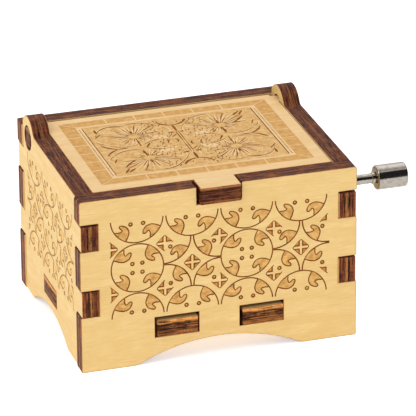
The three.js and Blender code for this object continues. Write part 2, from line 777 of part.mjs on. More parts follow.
function addCrank() {
  add("crank_rod", crankRod(), nickel);
  add("crank_knob", knob(), nickel, [KNOB_FROM_X, ARM_HEAD.y, ARM_HEAD.z]);
  add("worm", worm(), steel, [CYL_X, SHAFT_Y, SHAFT_Z]);
}

function addMovement() {
  add("bedplate", bedplate(), zinc);
  add("front_bridge", frontBridge(), steel, [CYL_X, FRONT_BRIDGE_Y, CYL_Z]);
  add("back_bridge", backBridge(), steel, [CYL_X, BACK_BRIDGE_Y, CYL_Z]);
  add("worm_bracket", wormBracket(), steel, [CYL_X, SHAFT_Y, SHAFT_Z]);
  add("cylinder", cylinder(), brass, [CYL_X, CYL_FRONT, CYL_Z]);
  const arborEnds = [FRONT_BRIDGE_Y - 0.5, BACK_BRIDGE_Y + BRIDGE_THICKNESS + 0.5];
  add("arbor", bar("y", ARBOR_R, ...arborEnds), steel, [CYL_X, 0, CYL_Z]);
  add("worm_wheel", wormWheel(), brass, [CYL_X, SHAFT_Y, CYL_Z]);
  add("comb", comb(), steel, [0, 0, COMB_Z]);
  for (let note = 0; note < BASS_WEIGHTS; note += 1) {
    const reach = 4.6 - note * 0.5;
    const half = (COMB_PITCH - COMB_SLIT) / 2;
    const weight = box([-reach, -half, -1.6 + note * 0.15], [0, half, 0]);
    const at = [COMB_TIP_X - 1.3, toothCentre(note), COMB_Z - 0.02];
    add(`bass_weight_${note + 1}`, weight, lead, at);
  }
}

function addFasteners() {
  const bedScrew = BED_TOP - BASE_TOP + BRIDGE_THICKNESS - 0.3;
  const { front, back } = bridgeScrewPlaces();
  const footTop = BED_TOP + BRIDGE_THICKNESS + 0.04;
  const stripTop = BED_TOP + 1.34;
  combScrewPlaces().forEach(([x, y], i) => {
    const top = COMB_Z + COMB_THICKNESS + 0.02;
    add(`comb_screw_${i + 1}`, screw(M2, 5), steel, [x, y, top], [0, 0, 0.5 + i]);
  });
  bracketScrewPlaces().forEach(([x, y], i) => {
    add(`bracket_screw_${i + 1}`, screw(M2, bedScrew), steel, [x, y, stripTop], [0, 0, 0.9 * i]);
  });
  add("front_bridge_screw", screw(M2, bedScrew), steel, [...front, footTop], [0, 0, 0.3]);
  add("back_bridge_screw", screw(M2, bedScrew), steel, [...back, footTop], [0, 0, 1.2]);
  MOUNTING_PLACES.forEach(([x, y], i) => {
    const length = BED_TOP - BASE_Z - 0.3;
    const place = [x, y, BASE_Z - 0.02];
    add(`mounting_screw_${i + 1}`, screw(MOUNTING, length), nickel, place, [Math.PI, 0, i]);
  });
}

addCase();
addCrank();
addMovement();
addFasteners();

// The origin is the middle of the outline, on the surface that the box stands on.
const outlineX = (KNOB_TO_X - HALF_X - PROUD_X) / 2;
const outlineY = (HALF_Y + PROUD_Y + LID_TAB.end) / 2;
musicBox.position.set(-outlineX, -outlineY, 0);

const assembly = new THREE.Group();
assembly.add(musicBox);

export default assembly;
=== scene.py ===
"""Looks of a small hand-cranked music box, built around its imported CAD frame.

The plywood panels are rebuilt from the outlines of their CAD nodes with charred, layered edges and
engraved faces. The crank and the brass cylinder are rebuilt smooth, and the rest of the movement
keeps its CAD meshes. Flat work on a panel uses complex numbers, u + v j, in millimetres.
"""

import cmath
import math

import bmesh
import bpy
import numpy as np
from mathutils import Matrix, Vector
from mathutils.geometry import delaunay_2d_cdt


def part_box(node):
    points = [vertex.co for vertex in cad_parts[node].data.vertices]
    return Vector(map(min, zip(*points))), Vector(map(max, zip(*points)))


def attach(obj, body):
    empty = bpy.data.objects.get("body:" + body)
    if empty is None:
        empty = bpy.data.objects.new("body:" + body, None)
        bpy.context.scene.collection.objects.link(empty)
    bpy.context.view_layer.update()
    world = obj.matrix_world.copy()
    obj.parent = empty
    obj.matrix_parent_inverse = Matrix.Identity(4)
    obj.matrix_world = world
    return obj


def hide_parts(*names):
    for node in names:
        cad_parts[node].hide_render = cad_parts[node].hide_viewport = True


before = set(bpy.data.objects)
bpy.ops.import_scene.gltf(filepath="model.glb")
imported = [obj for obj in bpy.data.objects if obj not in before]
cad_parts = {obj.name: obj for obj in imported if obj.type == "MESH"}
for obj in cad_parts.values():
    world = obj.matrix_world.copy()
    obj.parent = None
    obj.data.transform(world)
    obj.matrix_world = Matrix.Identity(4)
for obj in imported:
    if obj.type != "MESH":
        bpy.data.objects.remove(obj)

MM = 0.001
X = Vector((1, 0, 0))
Y = Vector((0, 1, 0))
Z = Vector((0, 0, 1))
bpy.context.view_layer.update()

# The case's outer corners. Each face measures its u and v from its own lower left one.
CASE_LOW = Vector((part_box("left_panel")[0].x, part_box("front_panel")[0].y, 0))
CASE_HIGH = Vector((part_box("right_panel")[1].x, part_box("back_panel")[1].y, 0))

# ---- Edges and engraving, in millimetres ----
EDGE_DROP = 0.07  # the burnt arris of a cut edge lies this far below the face
EDGE_WIDTH = 0.09  # and the face starts to fall this far from it
SCORCH_WIDTH = 0.24  # browning beside a cut
CORNER_EASE = 0.28
WORN_EASE = 0.75  # at the two upper corners of the front
SHARP_TURN = math.radians(50)  # a smaller turn is part of a curve
ON_EDGE = 1e-3  # a point of a face this near a cut is on it
INNER_SCORCH = 0.4  # share of the browning that the inner face has
DEPTHS = {"surface": 0.0, "wash": 0.03, "fill": 0.05, "line": 0.08}  # of each kind of mark
MATERIAL_OF = {"surface": 0, "wash": 1, "fill": 2, "line": 3, "edge": 4}  # place in a panel's list
LINE = 0.3  # width of an engraved line

# Relief of a cut edge at shares of the sheet's thickness: glue lines are burnt back a little more.
EDGE_RELIEF = [(0.16, 0.01), (0.27, 0.02), (0.31, 0.055), (0.36, 0.02), (0.5, 0.012), (0.62, 0.02),
               (0.67, 0.055), (0.71, 0.02), (0.85, 0.01)]

# ---- Front engraving: rings in rows, with four leaves in each ring ----
RING_U = 6.05
RING_V = 5.8
PITCH_U = 12.73
PITCH_V = 12.0
RING_ROWS = [12.05, 24.0, 35.95]
DOT_R = 0.54
DOTS_IN_RING = (1.15, 1.1)  # from the ring's centre, across and up
DOTS_IN_HALF = (1.45, 1.25)
DOTS_IN_OPENING = (1.3, 1.0)
DIAMOND = 1.95  # from the middle to a point
DIAMOND_GAP = 0.25  # half the width of the cross between its quarters
DIAMOND_LIFTS = {"upper": -0.85, "middle": -0.4, "lower": 0.15}
LEAF_LINE = 0.28

# Upper left leaf of a ring, in ring radii: along the ring to the hook, round its notch to the
# curled tip, and back along the belly.
LEAF = [(-0.898, 0.429), (-0.731, 0.655), (-0.502, 0.829), (-0.505, 0.66), (-0.443, 0.55), (-0.335, 0.645),
        (-0.245, 0.66), (-0.235, 0.55), (-0.336, 0.379), (-0.527, 0.305), (-0.719, 0.343)]
LEAF_CORNERS = {0, 2}
LEAF_HOOK = 2
LEAF_TIP = 6


def rgba(shade):
    """What a node takes for a colour (red, green, blue) in sRGB of 0 to 255, or for a linear grey."""
    def linear(value):
        share = value / 255
        return share / 12.92 if share <= 0.04045 else ((share + 0.055) / 1.055) ** 2.4

    if isinstance(shade, tuple):
        return (*(linear(value) for value in shade), 1.0)
    return (shade, shade, shade, 1.0)


# ======== Materials ========


class Nodes:
    """Short names for making the nodes of one tree."""

    def __init__(self, tree):
        self.tree = tree

    def node(self, kind, inputs, **settings):
        made = self.tree.nodes.new("ShaderNode" + kind)
        for key, value in settings.items():
            setattr(made, key, value)
        for key, value in inputs.items():
            self.feed(made.inputs[key], value)
        return made

    def feed(self, socket, value):
        """Links the socket when value is another socket, and otherwise sets it."""
        if isinstance(value, bpy.types.NodeSocket):
            self.tree.links.new(value, socket)
        elif socket.type == "RGBA":
            socket.default_value = rgba(value)
        else:
            socket.default_value = value

    def math(self, operation, *values):
        return self.node("Math", dict(enumerate(values)), operation=operation).outputs[0]

    def ramp(self, value, stops):
        """stops are (place, colour) or (place, grey)."""
        made = self.node("ValToRGB", {"Fac": value})
        elements = made.color_ramp.elements
        while len(elements) < len(stops):
            elements.new(0.5)
        for element, (at, shade) in zip(elements, stops):
            element.position = at
            element.color = rgba(shade)
        return made.outputs["Color"]


class Look(Nodes):
    """A material being made."""

    def __init__(self, name, **plain):
        self.material = bpy.data.materials.new(name)
        self.material.use_nodes = True
        super().__init__(self.material.node_tree)
        self.shader = self.tree.nodes["Principled BSDF"]
        for socket, value in plain.items():
            self.shader.inputs[socket.replace("_", " ")].default_value = value

    def set(self, socket, value):
        self.feed(self.shader.inputs[socket], value)

    def attribute(self, name, output="Fac"):
        return self.node("Attribute", {}, attribute_name=name).outputs[output]

    def place(self):
        """Object coordinates in millimetres."""
        return self.stretch(self.node("TexCoord", {}).outputs["Object"], (1000, 1000, 1000))

    def stretch(self, vector, factors):
        return self.node("VectorMath", {0: vector, 1: factors}, operation="MULTIPLY").outputs[0]

    def noise(self, vector, factors, detail=4, roughness=0.55, distortion=0):
        """Noise over the vector times factors: the smaller a factor, the longer the patches."""
        inputs = {"Vector": self.stretch(vector, factors), "Scale": 1, "Detail": detail,
                  "Roughness": roughness, "Distortion": distortion}
        return self.node("TexNoise", inputs).outputs["Fac"]

    def mix(self, factor, first, second):
        return self.node("Mix", {0: factor, 6: first, 7: second}, data_type="RGBA").outputs[2]

    def tint(self, base, pattern, low, high, share, tone):
        """base turned towards tone, by share at most, where the pattern rises from low to high."""
        amount = self.math("MULTIPLY", self.ramp(pattern, [(low, 0), (high, 1.0)]), share)
        return self.mix(amount, base, tone)

    def bump(self, height, strength, distance_mm):
        inputs = {"Height": height, "Strength": strength, "Distance": distance_mm * MM}
        self.set("Normal", self.node("Bump", inputs).outputs["Normal"])


def wood_surface(name, early, late, shadow):
    """Sanded veneer: the grain runs along u, and the wood is browned beside the laser's cuts."""
    look = Look(name, Specular_IOR_Level=0.35)
    sheet = look.attribute("sheet", "Vector")
    figure = look.noise(sheet, (0.06, 0.42, 1), distortion=0.8)
    fibres = look.noise(sheet, (0.3, 3.4, 1), detail=5, roughness=0.65)
    mottle = look.noise(sheet, (0.22, 0.3, 1), detail=5, roughness=0.6)
    pores = look.noise(sheet, (0.8, 6.0, 1), detail=2)
    base = look.mix(look.ramp(figure, [(0.34, 0), (0.7, 1)]), early, late)
    base = look.tint(base, fibres, 0.45, 0.7, 0.42, shadow)
    base = look.tint(base, mottle, 0.42, 0.65, 0.7, late)
    base = look.tint(base, pores, 0.67, 0.76, 0.35, shadow)
    uneven = look.noise(sheet, (1.1, 1.1, 1), detail=3)
    burnt = look.math("MULTIPLY", look.attribute("scorch"), look.ramp(uneven, [(0.2, 0.55), (0.8, 1.15)]))
    browned = look.ramp(burnt, [(0, (226, 184, 118)), (0.5, (176, 112, 58)), (0.95, (92, 46, 26))])
    look.set("Base Color", look.mix(look.ramp(burnt, [(0.02, 0), (0.5, 0.8), (0.9, 1)]), base, browned))
    look.set("Roughness", look.ramp(fibres, [(0.3, 0.52), (0.8, 0.68)]))
    look.bump(fibres, 0.25, 0.04)
    return look.material


def engraved(name, pale, dark, contrast):
    """Wood darkened by the laser, in the faint rows that its passes leave."""
    look = Look(name, Specular_IOR_Level=0.04)
    sheet = look.attribute("sheet", "Vector")
    rows = look.noise(sheet, (0.5, 7.0, 1), detail=3)
    blotch = look.noise(sheet, (0.75, 0.75, 1))
    tone = look.math("ADD", look.math("MULTIPLY", rows, 0.4), look.math("MULTIPLY", blotch, 0.6))
    low, high = 0.5 - contrast, 0.5 + contrast
    look.set("Base Color", look.ramp(tone, [(low, dark), (high, pale)]))
    look.set("Roughness", look.ramp(rows, [(0.3, 0.8), (0.7, 0.95)]))
    look.bump(rows, 0.5, 0.05)
    return look.material


def charred_edge(name, layers, lift, upward_evening):
    """A laser-cut edge: charred, streaked veneers with glue lines between them.

    layers are ramp stops from the outer face to the inner one, lift is the tone of the lighter
    streaks, and the last argument is how far an edge that faces up is evened out to one brown.
    """
    look = Look(name, Specular_IOR_Level=0.08)
    run = look.attribute("sheet", "Vector")
    depth = look.attribute("ply")
    wander = look.noise(run, (0.35, 0, 1), detail=3)
    shifted = look.math("ADD", depth, look.math("MULTIPLY", look.math("SUBTRACT", wander, 0.5), 0.08))
    base = look.ramp(shifted, layers)
    # An edge that faces up is evened out towards one flat brown, as far as it faces up.
    base = look.mix(look.math("MULTIPLY", look.attribute("level"), upward_evening), base, (84, 50, 43))
    long_streaks = look.noise(run, (0.16, 3.2, 1), roughness=0.75)
    cuts = look.noise(run, (2.4, 0.22, 1), roughness=0.65)
    patches = look.noise(run, (0.3, 0.45, 1), detail=3)
    base = look.tint(base, long_streaks, 0.52, 0.6, 0.6, lift)
    base = look.mix(look.ramp(long_streaks, [(0.4, 1), (0.49, 0)]), base, (28, 10, 5))
    base = look.mix(look.ramp(cuts, [(0.36, 0.4), (0.5, 0)]), base, (34, 14, 7))
    base = look.tint(base, patches, 0.5, 0.72, 0.4, lift)
    look.set("Base Color", base)
    look.set("Roughness", look.ramp(long_streaks, [(0.3, 0.45), (0.75, 0.75)]))
    look.bump(look.mix(0.5, long_streaks, cuts), 0.6, 0.08)
    return look.material


def metal(name, base, worn, roughness, scale, bump):
    """Plated or machined metal: faint clouding, fine scratches along X and a little uneven gloss."""
    look = Look(name, Metallic=1.0)
    place = look.place()
    cloud = look.noise(place, (scale, scale, scale))
    scratch = look.noise(place, (scale * 0.4, scale * 9, scale * 9), detail=3)
    look.set("Base Color", look.mix(look.ramp(cloud, [(0.4, 0), (0.75, 1)]), base, worn))
    look.set("Roughness", look.ramp(scratch, [(0.3, roughness), (0.75, roughness + 0.14)]))
    look.bump(look.mix(0.5, cloud, scratch), bump, 0.05)
    return look.material


CASE_WOOD = wood_surface("case_wood", (229, 197, 133), (219, 182, 114), (194, 150, 86))
LID_WOOD = wood_surface("lid_wood", (241, 207, 153), (232, 192, 132), (208, 163, 104))
CASE_LINE = engraved("case_engraved_line", (156, 92, 38), (88, 42, 14), 0.16)
CASE_FILL = engraved("case_engraved_fill", (226, 182, 112), (176, 124, 64), 0.13)
CASE_DEEP = engraved("case_engraved_deep", (216, 150, 84), (166, 98, 50), 0.16)
SIDE_LINE = engraved("side_engraved_line", (192, 144, 84), (136, 88, 44), 0.18)
SIDE_FILL = engraved("side_engraved_fill", (230, 194, 134), (208, 168, 106), 0.16)
LID_LINE = engraved("lid_engraved_line", (172, 110, 50), (106, 56, 24), 0.18)
LID_FILL = engraved("lid_engraved_fill", (230, 184, 118), (196, 144, 82), 0.16)
LID_WASH = engraved("lid_engraved_wash", (238, 199, 138), (202, 152, 90), 0.16)
CASE_EDGE = charred_edge(
    "charred_case_edge",
    [(0, (58, 24, 14)), (0.05, (118, 54, 28)), (0.2, (104, 50, 32)), (0.31, (104, 56, 34)),
     (0.345, (24, 10, 6)), (0.43, (28, 12, 7)), (0.47, (176, 114, 60)), (0.6, (150, 92, 46)),
     (0.67, (38, 17, 10)), (0.74, (96, 40, 24)), (0.94, (104, 48, 26)), (1, (46, 22, 14))],
    (172, 102, 58), 0.72)
# The base's edge, seen in the slots: the pale top veneer is a real layer of the wood, painted brighter
# than it is as painted light where the slots shade it.
TAB_EDGE_PAINTED_LIGHT = charred_edge(
    "charred_tab_edge_painted_light",
    [(0, (104, 54, 26)), (0.05, (246, 176, 98)), (0.2, (224, 146, 72)), (0.26, (48, 20, 10)),
     (0.5, (78, 36, 18)), (0.7, (54, 24, 12)), (0.78, (146, 88, 44)), (1, (122, 68, 34))],
    (196, 128, 68), 0.3)
LID_EDGE = charred_edge(
    "charred_lid_edge",
    [(0, (132, 74, 38)), (0.04, (188, 122, 66)), (0.12, (150, 88, 46)), (0.17, (58, 26, 15)),
     (0.45, (88, 42, 24)), (0.8, (62, 28, 16)), (0.86, (150, 90, 48)), (1, (112, 62, 34))],
    (140, 82, 46), 0.4)
NICKEL = metal("nickel_plating", (166, 160, 151), (142, 135, 125), 0.1, 1.4, 0.2)
STEEL = metal("ground_steel", (150, 152, 156), (120, 120, 124), 0.28, 0.7, 0.25)
ZINC = metal("cast_zinc", (168, 168, 166), (138, 138, 138), 0.42, 1.6, 0.7)
BRASS = metal("turned_brass", (212, 170, 88), (178, 134, 62), 0.22, 0.8, 0.2)
LEAD = metal("dull_lead", (108, 110, 114), (82, 84, 88), 0.5, 1.4, 0.6)


# ======== Flat work on a panel ========


def pairs(loop):
    """Each point of a closed loop with the next one."""
    return list(zip(loop, loop[1:] + loop[:1]))


def triples(loop):
    """Each point of a closed loop between its neighbours."""
    return zip(loop[-1:] + loop[:-1], loop, loop[1:] + loop[:1])


def unit(value):
    return value / abs(value)


def area(loop):
    """Positive when the loop runs counterclockwise."""
    return sum((a.conjugate() * b).imag for a, b in pairs(loop)) / 2


def inset(loop, amount):
    """The loop moved into the material, which lies on its left; corners stay mitred."""
    moved = []
    for before, here, after in triples(loop):
        a = unit(here - before)
        b = unit(after - here)
        moved.append(here + amount * 1j * (a + b) / (1 + (a.conjugate() * b).real))
    return moved


def ease_corners(loop, radius_at):
    """Rounds off the corners of the material; radius_at(corner) says by how much."""
    eased = []
    for before, here, after in triples(loop):
        a = unit(here - before)
        b = unit(after - here)
        if cmath.phase(b / a) < SHARP_TURN:
            eased.append(here)
            continue
        reach = min(radius_at(here), 0.4 * abs(here - before), 0.4 * abs(after - here))
        start = here - a * reach
        end = here + b * reach
        for t in (0, 1 / 3, 2 / 3, 1):
            eased.append((1 - t) ** 2 * start + 2 * t * (1 - t) * here + t**2 * end)
    return eased


def drop_straight(loop):
    """The loop without the points that lie on a straight stretch."""
    kept = []
    for before, here, after in triples(loop):
        if abs(cmath.phase((after - here) / (here - before))) > 1e-3:
            kept.append(here)
    return kept


def distance_to(loops, points):
    """How far each point is from the nearest edge of the loops."""
    edges = np.array([pair for loop in loops for pair in pairs(loop)])
    start = edges[:, 0]
    span = edges[:, 1] - start
    offset = np.array(points)[:, None] - start
    share = np.clip((offset * span.conj()).real / abs(span) ** 2, 0, 1)
    return abs(offset - share * span).min(axis=1)


class Sheet:
    """One plywood panel seen from outside, with u to the right and v up."""

    def __init__(self, node, along, up, shift):
        self.node = node
        self.along = along
        self.up = up
        self.out = along.cross(up)
        levels = sorted(corner.dot(self.out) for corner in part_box(node))
        self.level = levels[1]
        self.thickness = (levels[1] - levels[0]) / MM
        self.u_start = min(CASE_LOW.dot(along), CASE_HIGH.dot(along))
        self.v_start = min(CASE_LOW.dot(up), CASE_HIGH.dot(up))
        self.shift = shift  # moves the grain, so that no two panels are alike

    def at(self, point, depth):
        """The place in space of a flat point, depth below the outer face."""
        along = self.along * (self.u_start + point.real * MM)
        up = self.up * (self.v_start + point.imag * MM)
        return along + up + self.out * (self.level - depth * MM)

    def flat(self, corner):
        """The flat point under a corner of the CAD mesh."""
        u = (corner.dot(self.along) - self.u_start) / MM
        v = (corner.dot(self.up) - self.v_start) / MM
        return complex(round(u, 4), round(v, 4))

    def outlines(self):
        """The loops round the outer face of the CAD node, the outside first, material on the left."""
        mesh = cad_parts[self.node].data
        edges = set()
        for face in mesh.polygons:
            corners = [mesh.vertices[i].co for i in face.vertices]
            level = all(abs(corner.dot(self.out) - self.level) < 1e-6 for corner in corners)
            if level and face.normal.dot(self.out) > 0.9:
                edges.update(pairs([self.flat(corner) for corner in corners]))
        follow = {a: b for a, b in edges if (b, a) not in edges}
        loops = []
        while follow:
            start, here = follow.popitem()
            loop = [start]
            while here != start:
                loop.append(here)
                here = follow.pop(here)
            loops.append(drop_straight(loop))
        return sorted(loops, key=area, reverse=True)


def triangulate(loops, rings, marks):
    """Points and triangles between the loops, each triangle with the kind of the last mark over it.

    The first loop is the outline and the others are holes. The rings only add points beside them.
    """
    shapes = loops + rings + [shape for _, shape in marks]
    points = []
    faces = []
    for shape in shapes:
        ccw = shape if area(shape) > 0 else shape[::-1]
        faces.append(list(range(len(points), len(points) + len(ccw))))
        points += [Vector((p.real, p.imag)) for p in ccw]
    corners, _, triangles, _, _, origins = delaunay_2d_cdt(points, [], faces, 0, 1e-5)
    holes = set(range(1, len(loops)))
    first_mark = len(loops) + len(rings)
    kept = []
    for triangle, origin in zip(triangles, origins):
        if 0 not in origin or holes & set(origin):
            continue
        top = max(origin)
        kept.append((triangle, marks[top - first_mark][0] if top >= first_mark else "surface"))
    return [complex(*corner) for corner in corners], kept


class PanelMesh:
    """Collects the faces of a panel with the values its materials read at their corners."""

    def __init__(self, sheet):
        self.sheet = sheet
        self.bm = bmesh.new()
        layers = self.bm.loops.layers
        self.scorch = layers.float.new("scorch")
        self.ply = layers.float.new("ply")
        self.level = layers.float.new("level")
        self.grain = layers.float_vector.new("sheet")

    def face(self, corners, material):
        """corners are (place, scorch, ply, place in the grain)."""
        made = self.bm.faces.new([self.bm.verts.new(place) for place, *_ in corners])
        made.material_index = material
        made.normal_update()
        upright = abs(made.normal.z)
        for loop, (_, scorch, ply, grain) in zip(made.loops, corners):
            loop[self.scorch] = scorch
            loop[self.ply] = ply
            loop[self.level] = upright
            loop[self.grain] = (grain[0] + self.sheet.shift, grain[1] + self.sheet.shift, grain[2])


def middle_of(node):
    low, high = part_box(node)
    return (low + high) / 2


def add_object(name, data):
    made = bpy.data.objects.new(name, data)
    bpy.context.scene.collection.objects.link(made)
    return made


def mesh_from(bm, name, materials):
    mesh = bpy.data.meshes.new(name)
    bm.to_mesh(mesh)
    bm.free()
    for material in materials:
        mesh.materials.append(material)
    return mesh


def make_piece(bm, name, materials, sharp_degrees, body, node):
    """A smooth piece with the given materials that rides on the body, in place of the CAD node, which it
    hides.
    """
    mesh = mesh_from(bm, name, materials)
    mesh.shade_smooth()
    mesh.set_sharp_from_angle(angle=math.radians(sharp_degrees))
    piece = add_object(name, mesh)
    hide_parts(node)
    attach(piece, body)


def add_skin(panel, loops, marks, inner):
    """The outer face with its engraving, or the plain inner face, between the eased loops."""
    sheet = panel.sheet
    rings = [inset(loop, reach) for loop in loops for reach in (EDGE_WIDTH, SCORCH_WIDTH)]
    points, triangles = triangulate(loops, rings, marks)
    far = distance_to(loops, points)
    kind_beside = {}
    for triangle, kind in triangles:
        corners = []
        for i in triangle:
            drop = EDGE_DROP if far[i] < ON_EDGE else 0.0
            sunk = max(DEPTHS[kind], drop)
            place = sheet.at(points[i], sheet.thickness - sunk if inner else sunk)
            scorch = max(0.0, 1 - far[i] / SCORCH_WIDTH) * (INNER_SCORCH if inner else 1.0)
            corners.append((place, scorch, float(inner), (points[i].real, points[i].imag, sunk)))
        panel.face(corners[::-1] if inner else corners, MATERIAL_OF[kind])
        for edge in pairs(list(triangle)):
            kind_beside[edge] = kind
    add_walls(panel, points, kind_beside)


def add_walls(panel, points, kind_beside):
    """The sides of the engraving: kind_beside is the kind of mark on the left of each edge."""
    for (a, b), kind in kind_beside.items():
        other = kind_beside.get((b, a), kind)
        if DEPTHS[kind] >= DEPTHS[other]:
            continue
        corners = []
        for i, depth in ((a, DEPTHS[kind]), (a, DEPTHS[other]), (b, DEPTHS[other]), (b, DEPTHS[kind])):
            point = points[i]
            corners.append((panel.sheet.at(point, depth), 0.0, 0.0, (point.real, point.imag, depth)))
        panel.face(corners, MATERIAL_OF[other])


def add_edges(panel, loops):
    """The cut edges, ring by ring from the outer face to the inner one."""
    sheet = panel.sheet
    rims = [(EDGE_DROP, 0.0)]
    rims += [(share * sheet.thickness, relief) for share, relief in EDGE_RELIEF]
    rims += [(sheet.thickness - EDGE_DROP, 0.0)]
    for loop in loops:
        rings = [(depth, inset(loop, relief)) for depth, relief in rims]
        run = 0.0
        for i, (here, there) in enumerate(pairs(loop)):
            ahead = run + abs(there - here)
            following = (i + 1) % len(loop)
            for (high, upper), (low, lower) in zip(rings, rings[1:]):
                corners = [(high, upper[i], run), (low, lower[i], run),
                           (low, lower[following], ahead), (high, upper[following], ahead)]
                panel.face([(sheet.at(point, depth), 1.0, depth / sheet.thickness, (along, depth, 0.0))
                            for depth, point, along in corners], MATERIAL_OF["edge"])
            run = ahead


def build_panel(name, sheet, woods, marks=(), body="case", radius_at=lambda corner: CORNER_EASE):
    """One sheet of plywood; woods are its materials in the order of MATERIAL_OF."""
    loops = [ease_corners(loop, radius_at) for loop in sheet.outlines()]
    panel = PanelMesh(sheet)
    add_skin(panel, loops, list(marks), inner=False)
    add_skin(panel, loops, [], inner=True)
    add_edges(panel, loops)
    bmesh.ops.remove_doubles(panel.bm, verts=panel.bm.verts, dist=2e-6)
    make_piece(panel.bm, name, woods, 30, body, sheet.node)


# ======== Engraving ========


def smooth_loop(knots, corners, steps):
    """A closed curve through the knots, with corners at the knots named."""
    count = len(knots)
    curve = []
    for i, (here, there) in enumerate(pairs(knots)):
        before = 2 * here - there if i in corners else knots[i - 1]
        after = 2 * there - here if (i + 1) % count in corners else knots[(i + 2) % count]
        for step in range(steps):
            t = step / steps
            curve.append(0.5 * (2 * here + (there - before) * t
                                + (2 * before - 5 * here + 4 * there - after) * t**2
                                + (3 * here - before - 3 * there + after) * t**3))
    return curve


def stroke(points, width, taper=1.0):
    """A line along points as a closed outline; its ends are taper times as wide."""
    left = []
    right = []
    last = len(points) - 1
    for i, here in enumerate(points):
        along = unit(points[min(i + 1, last)] - points[max(i - 1, 0)])
        half = width / 2 * (taper + (1 - taper) * math.sin(math.pi * i / last))
        left.append(here + 1j * along * half)
        right.append(here - 1j * along * half)
    return right + left[::-1]


def ellipse_part(centre, radius_u, radius_v, start, end, steps):
    """Points between two angles in degrees."""
    angles = [math.radians(start + (end - start) * i / steps) for i in range(steps + 1)]
    return [centre + complex(radius_u * math.cos(a), radius_v * math.sin(a)) for a in angles]


def disc(centre, radius, sides=14):
    return ellipse_part(centre, radius, radius, 0, 360 - 360 / sides, sides - 1)


def dot(centre):
    return [("line", disc(centre, DOT_R)), ("fill", disc(centre, DOT_R * 0.4, 8))]


def shrink(loop, share):
    """The loop made smaller about its middle."""
    middle = sum(loop) / len(loop)
    return [middle + (point - middle) * share for point in loop]


def leaf(centre, quarter):
    """quarter 0 is upper left, and each next one is a quarter turn clockwise."""
    steps = 4
    knots = [complex(*knot) * (-1j) ** quarter for knot in LEAF]
    outline = smooth_loop(knots, LEAF_CORNERS, steps)
    curve = [centre + complex(point.real * RING_U, point.imag * RING_V) for point in outline]
    hook = LEAF_HOOK * steps
    tip = LEAF_TIP * steps
    return [("fill", curve), ("line", stroke(curve[hook:tip + 1], LEAF_LINE)),
            ("line", stroke(curve[tip:] + curve[:1], LEAF_LINE))]


def diamond_quarter(centre, quarter):
    """A rounded triangle beside the cross, and the line along its slanted side."""
    gap = DIAMOND_GAP
    reach = DIAMOND - gap
    knots = [complex(-gap, gap), complex(-gap, reach - 0.1), complex(-gap - 0.18, reach),
             complex(-gap - 0.6, reach - 0.42), complex(-reach + 0.42, gap + 0.6),
             complex(-reach, gap + 0.18), complex(-reach + 0.1, gap)]
    turn = (-1j) ** quarter
    outline = [centre + knot * turn for knot in knots][::-1]
    side = [centre + complex(-DIAMOND + 0.05, 0.05) * turn, centre + complex(-0.05, DIAMOND - 0.05) * turn]
    return [("line", stroke(side, 0.22)), ("line", outline), ("wash", shrink(outline, 0.54))]


def ring_arc(centre, start, end, width=LINE):
    steps = max(4, round(abs(end - start) / 8))
    return [("line", stroke(ellipse_part(centre, RING_U, RING_V, start, end, steps), width))]


# Direction of each quarter from a ring's centre, and the start of its quarter of the ring.
TOWARDS = [-1 + 1j, 1 + 1j, 1 - 1j, -1 - 1j]
ARC_START = [90, 0, 270, 180]


def dot_aside(centre, quarter, offset):
    """A dot by centre, moved by offset (across, up) into the quarter."""
    across, up = offset
    towards = TOWARDS[quarter]
    return dot(centre + complex(towards.real * across, towards.imag * up))


def full_ring(centre):
    marks = ring_arc(centre, 0, 180) + ring_arc(centre, 180, 360)
    for quarter in range(4):
        marks += leaf(centre, quarter) + dot_aside(centre, quarter, DOTS_IN_RING)
    return marks


def half_ring(centre, quarters, start):
    """The half of a ring that runs from the angle start; its ends stop a little short."""
    marks = ring_arc(centre, start + 2, start + 178)
    for quarter in quarters:
        marks += leaf(centre, quarter) + dot_aside(centre, quarter, DOTS_IN_HALF)
    return marks


def node_between_rings(centre, quarters, open_quarters, lift):
    """A small diamond; in an open quarter a quarter of a ring, with its leaf and dot, replaces it."""
    marks = []
    for quarter in quarters:
        if quarter in open_quarters:
            start = ARC_START[quarter]
            marks += ring_arc(centre, start - 3.5, start + 93.5, LINE + 0.03) + leaf(centre, quarter)
            marks += dot_aside(centre + 1j * lift, quarter, DOTS_IN_OPENING)
        else:
            marks += diamond_quarter(centre + 1j * lift, quarter)
    return marks


def pinwheel_lattice(middle, columns, first_is_full):
    """Rows of rings round the middle of a face: halves, then whole ones and gaps in turn, then halves."""
    low, mid, high = RING_ROWS
    start = middle - PITCH_U * (columns - 1) / 2
    marks = []
    for column in range(columns):
        u = start + PITCH_U * column
        marks += half_ring(complex(u, high), (2, 3), 180) + half_ring(complex(u, low), (0, 1), 0)
        if (column % 2 == 0) == first_is_full:
            marks += full_ring(complex(u, mid))
        else:
            for quarter in range(4):
                marks += diamond_quarter(complex(u, mid + DIAMOND_LIFTS["middle"]), quarter)
    for gap in range(columns + 1):
        u = start + PITCH_U * (gap - 0.5)
        left_open = gap > 0 and ((gap - 1) % 2 == 0) != first_is_full
        right_open = gap < columns and (gap % 2 == 0) != first_is_full
        inside = ([0, 3] if gap > 0 else []) + ([1, 2] if gap < columns else [])
        for v, place in ((high - PITCH_V / 2, "upper"), (low + PITCH_V / 2, "lower")):
            left_quarter, right_quarter = (3, 2) if place == "upper" else (0, 1)
            open_quarters = [left_quarter] * left_open + [right_quarter] * right_open
            marks += node_between_rings(complex(u, v), inside, open_quarters, DIAMOND_LIFTS[place])
    return marks


